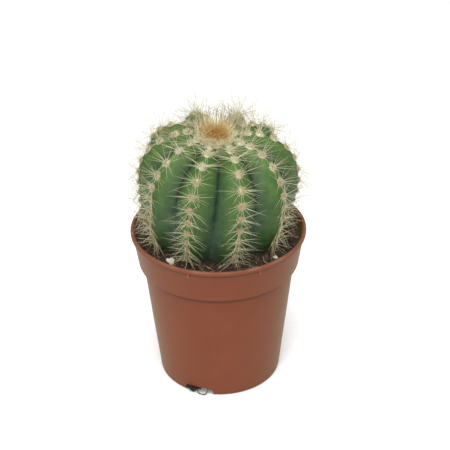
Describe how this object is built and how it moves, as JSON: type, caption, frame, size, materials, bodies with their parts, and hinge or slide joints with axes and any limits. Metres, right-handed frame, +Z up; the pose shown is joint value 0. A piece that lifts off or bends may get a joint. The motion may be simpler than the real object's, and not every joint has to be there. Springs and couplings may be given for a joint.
{
  "type": "potted balloon cactus",
  "caption": "Young ribbed globe cactus with woolly areoles and straw-coloured spines, leaning in a round terracotta-coloured plastic nursery pot",
  "frame": {"origin": "the middle of the pot's foot, on the surface that the pot stands on", "axes": "+Z is up along the pot's axis, -Y is the front as the picture sees it, +X is to the right seen from the front"},
  "size_m": [0.11, 0.1097, 0.1778],
  "materials": {
    "pot_plastic": "satin",
    "peat": "rough, crumbly peat",
    "stem_skin": "waxy satin plant skin",
    "golden_wool": "matte wool and bristles",
    "straw_spines": "matte straw-coloured spines and wool",
    "perlite": "matte",
    "bark": "rough",
    "root_skin": "matte"
  },
  "bodies": {
    "root": {"pot": "pot_plastic", "soil": "peat", "cactus_stem": "stem_skin", "crown_tuft": "golden_wool", "areole_row_01": "straw_spines", "areole_row_02": "straw_spines", "areole_row_03": "straw_spines", "areole_row_04": "straw_spines", "areole_row_05": "straw_spines", "areole_row_06": "straw_spines", "areole_row_07": "straw_spines", "areole_row_08": "straw_spines", "areole_row_09": "straw_spines", "areole_row_10": "straw_spines", "perlite_grain_1": "perlite", "perlite_grain_2": "perlite", "bark_bit_1": "bark", "bark_bit_2": "bark", "root_loop": "root_skin"}
  },
  "joints": []
}
